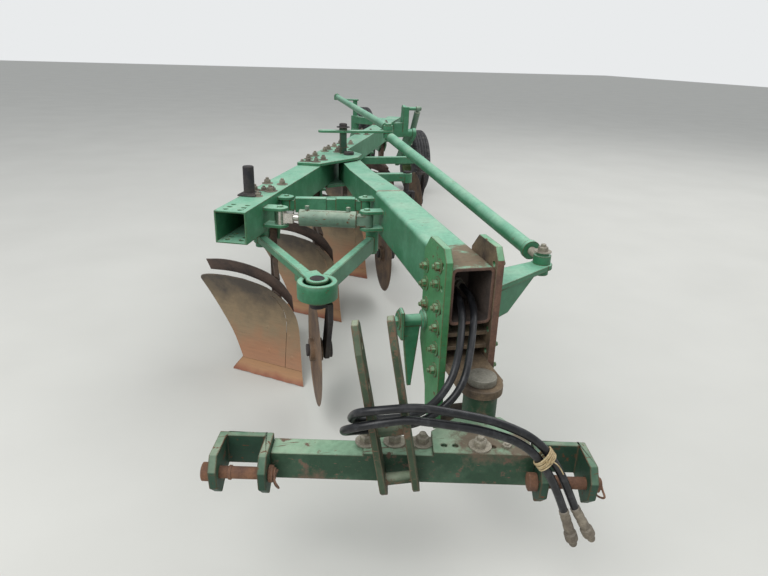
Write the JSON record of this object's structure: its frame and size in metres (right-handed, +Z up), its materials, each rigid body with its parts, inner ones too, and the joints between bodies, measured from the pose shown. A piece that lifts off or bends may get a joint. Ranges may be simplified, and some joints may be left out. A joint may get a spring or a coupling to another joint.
{
  "type": "semi-mounted moldboard plough",
  "caption": "Semi-mounted right-hand moldboard plough on a diagonal frame tube with a swinging hitch beam, disc coulters, land wheel and steered rear wheel.",
  "frame": {"origin": "under the middle of the plough's box, on the ground", "axes": "+Y points rearward along the line of travel, +X to the plough's left, +Z up"},
  "size_m": [2.4274, 6.5772, 1.155],
  "materials": {
    "green_paint": "sun-bleached farm green paint, worn to rust at the edges",
    "board_steel": "soil-worn steel with a film of rust",
    "rusty_steel": "rusty steel",
    "dark_steel": "weathered dark steel",
    "rod_chrome": "dull chrome",
    "tyre_rubber": "dusty tyre rubber",
    "hose_rubber": "scuffed hose rubber",
    "twine": "baler twine"
  },
  "bodies": {
    "frame": {"main_frame": "green_paint", "pivot_plates": "green_paint", "beam_pivot_pin": "dark_steel", "standards": "dark_steel", "trip_heads": "green_paint", "moldboard_1": "board_steel", "moldboard_2": "board_steel", "moldboard_3": "board_steel", "moldboard_4": "board_steel", "moldboard_5": "board_steel", "shares": "rusty_steel", "landsides": "rusty_steel", "cover_boards": "dark_steel", "coulter_arms": "green_paint", "front_post": "dark_steel", "land_wheel_mast": "green_paint", "rear_carrier": "green_paint"},
    "beam": {"hitch_beam": "green_paint", "headstock": "green_paint", "steering_arm": "green_paint", "stay_bracket": "green_paint", "swivel_pin": "dark_steel"},
    "hitch": {"crossbar": "green_paint", "hitch_mast": "green_paint", "clevises": "green_paint", "link_pins": "rusty_steel", "hose_one": "hose_rubber", "hose_two": "hose_rubber", "hose_couplers": "dark_steel", "hose_twine": "twine"},
    "cylinder_barrel": {"cylinder_barrel": "green_paint"},
    "cylinder_rod": {"cylinder_rod": "rod_chrome"},
    "brace_sleeve": {"brace_sleeve": "green_paint"},
    "brace_slide": {"brace_slide": "green_paint"},
    "v_arm_right": {"v_arm_right": "green_paint"},
    "v_arm_left": {"v_arm_left": "green_paint"},
    "idler": {"idler_lever": "green_paint"},
    "front_tie": {"front_tie": "green_paint"},
    "rear_tie": {"rear_tie": "green_paint"},
    "rear_fork": {"rear_fork": "green_paint"},
    "rear_wheel": {"rear_rim": "green_paint", "rear_tyre": "tyre_rubber"},
    "land_arm": {"land_arm": "green_paint"},
    "land_wheel": {"land_rim": "green_paint", "land_tyre": "tyre_rubber"},
    "lift_barrel": {"lift_barrel": "green_paint"},
    "lift_rod": {"lift_rod": "rod_chrome"},
    "coulter_yoke_1": {"coulter_yoke_1": "green_paint"},
    "coulter_disc_1": {"coulter_disc_1": "rusty_steel"},
    "coulter_yoke_3": {"coulter_yoke_3": "green_paint"},
    "coulter_disc_3": {"coulter_disc_3": "rusty_steel"},
    "coulter_yoke_4": {"coulter_yoke_4": "green_paint"},
    "coulter_disc_4": {"coulter_disc_4": "rusty_steel"},
    "coulter_yoke_5": {"coulter_yoke_5": "green_paint"},
    "coulter_disc_5": {"coulter_disc_5": "rusty_steel"}
  },
  "joints": [
    {"name": "beam_swing", "type": "hinge", "parent": "frame", "child": "beam", "pos_m": [-0.23984, -0.37592, 0.85], "axis": [0, 0, 1], "range_deg": [0, 7]},
    {"name": "hitch_swivel", "type": "hinge", "parent": "beam", "child": "hitch", "pos_m": [-0.23984, -2.90592, 0.43], "axis": [0, 0, 1], "range_deg": [-45, 45], "deforming": ["hose_one", "hose_two"]},
    {"name": "width_cylinder_swing", "type": "hinge", "parent": "beam", "child": "cylinder_barrel", "pos_m": [-0.38984, -1.74592, 0.85], "axis": [0, 0, 1], "range_deg": [-3.32, 0]},
    {"name": "width_cylinder_slide", "type": "slide", "parent": "cylinder_barrel", "child": "cylinder_rod", "axis": [-0.9627, 0.2704, 0], "range_m": [0, 0.1662]},
    {"name": "brace_swing", "type": "hinge", "parent": "frame", "child": "brace_sleeve", "pos_m": [-0.74684, -1.42938, 0.862], "axis": [0, 0, 1], "range_deg": [0, 1.9]},
    {"name": "brace_slide", "type": "slide", "parent": "brace_sleeve", "child": "brace_slide", "axis": [0.9862, -0.1653, 0], "range_m": [0, 0.1376]},
    {"name": "v_arm_right_swing", "type": "hinge", "parent": "frame", "child": "v_arm_right", "pos_m": [-0.88984, -1.50592, 0.71], "axis": [0, 0, 1], "range_deg": [0, 7.75]},
    {"name": "v_arm_left_swing", "type": "hinge", "parent": "beam", "child": "v_arm_left", "pos_m": [-0.32584, -1.57892, 0.66], "axis": [0, 0, 1], "range_deg": [-12.18, 0]},
    {"name": "front_coulter_swivel", "type": "hinge", "parent": "v_arm_right", "child": "coulter_yoke_1", "pos_m": [-0.68784, -2.20592, 0.66], "axis": [0, 0, 1], "range_deg": [-12, 12]},
    {"name": "coulter_1_spin", "type": "hinge", "parent": "coulter_yoke_1", "child": "coulter_disc_1", "pos_m": [-0.68784, -2.08092, 0.35], "axis": [1, 0, 0], "continuous": true},
    {"name": "coulter_3_swivel", "type": "hinge", "parent": "frame", "child": "coulter_yoke_3", "pos_m": [-0.07347, -0.89365, 0.66], "axis": [0, 0, 1], "range_deg": [-12, 12]},
    {"name": "coulter_3_spin", "type": "hinge", "parent": "coulter_yoke_3", "child": "coulter_disc_3", "pos_m": [-0.07347, -0.76865, 0.35], "axis": [1, 0, 0], "continuous": true},
    {"name": "coulter_4_swivel", "type": "hinge", "parent": "frame", "child": "coulter_yoke_4", "pos_m": [0.24562, -0.14915, 0.66], "axis": [0, 0, 1], "range_deg": [-12, 12]},
    {"name": "coulter_4_spin", "type": "hinge", "parent": "coulter_yoke_4", "child": "coulter_disc_4", "pos_m": [0.24562, -0.02415, 0.35], "axis": [1, 0, 0], "continuous": true},
    {"name": "coulter_5_swivel", "type": "hinge", "parent": "frame", "child": "coulter_yoke_5", "pos_m": [0.56471, 0.59535, 0.66], "axis": [0, 0, 1], "range_deg": [-12, 12]},
    {"name": "coulter_5_spin", "type": "hinge", "parent": "coulter_yoke_5", "child": "coulter_disc_5", "pos_m": [0.56471, 0.72035, 0.35], "axis": [1, 0, 0], "continuous": true},
    {"name": "steering_idler", "type": "hinge", "parent": "frame", "child": "idler", "pos_m": [-0.26984, -0.31592, 1.093], "axis": [0, 0, 1], "range_deg": [0, 6.5]},
    {"name": "front_tie_swing", "type": "hinge", "parent": "beam", "child": "front_tie", "pos_m": [0.15416, -2.48192, 0.875], "axis": [0, 0, 1], "range_deg": [-0.217, 0]},
    {"name": "rear_tie_swing", "type": "hinge", "parent": "idler", "child": "rear_tie", "pos_m": [0.04516, -0.33092, 1.118], "axis": [0, 0, 1], "range_deg": [-6.87, 0]},
    {"name": "rear_wheel_steer", "type": "hinge", "parent": "frame", "child": "rear_fork", "pos_m": [0.35016, 2.58408, 0.85], "axis": [0, 0, 1], "range_deg": [-10.54, 0]},
    {"name": "rear_wheel_spin", "type": "hinge", "parent": "rear_fork", "child": "rear_wheel", "pos_m": [0.51016, 2.88408, 0.6], "axis": [1, 0, 0], "continuous": true},
    {"name": "land_wheel_lift", "type": "hinge", "parent": "frame", "child": "land_arm", "pos_m": [0.88516, 1.95408, 0.8], "axis": [1, 0, 0], "range_deg": [-8, 40]},
    {"name": "land_wheel_spin", "type": "hinge", "parent": "land_arm", "child": "land_wheel", "pos_m": [1.10616, 2.62408, 0.375], "axis": [1, 0, 0], "continuous": true},
    {"name": "lift_ram_swing", "type": "hinge", "parent": "frame", "child": "lift_barrel", "pos_m": [0.94516, 2.02408, 1.05], "axis": [1, 0, 0], "range_deg": [-5.89, 29.25]},
    {"name": "lift_ram_slide", "type": "slide", "parent": "lift_barrel", "child": "lift_rod", "axis": [0, 0.5775, -0.8164], "range_m": [-0.1602, 0.0328]}
  ],
  "couplings": [
    {"joint": "width_cylinder_swing", "follows": "beam_swing", "ratio": -0.47114},
    {"joint": "width_cylinder_slide", "follows": "beam_swing", "m_per_rad": 1.3523},
    {"joint": "brace_swing", "follows": "beam_swing", "ratio": 0.26895},
    {"joint": "brace_slide", "follows": "beam_swing", "m_per_rad": 1.1177},
    {"joint": "v_arm_right_swing", "follows": "beam_swing", "ratio": 1.1049},
    {"joint": "v_arm_left_swing", "follows": "beam_swing", "ratio": -1.7365},
    {"joint": "steering_idler", "follows": "beam_swing", "ratio": 0.926},
    {"joint": "front_tie_swing", "follows": "beam_swing", "ratio": -0.02811},
    {"joint": "rear_tie_swing", "follows": "beam_swing", "ratio": -0.97787},
    {"joint": "rear_wheel_steer", "follows": "beam_swing", "ratio": -1.503},
    {"joint": "lift_ram_swing", "follows": "land_wheel_lift", "ratio": 0.73},
    {"joint": "lift_ram_slide", "follows": "land_wheel_lift", "m_per_rad": -0.228}
  ]
}
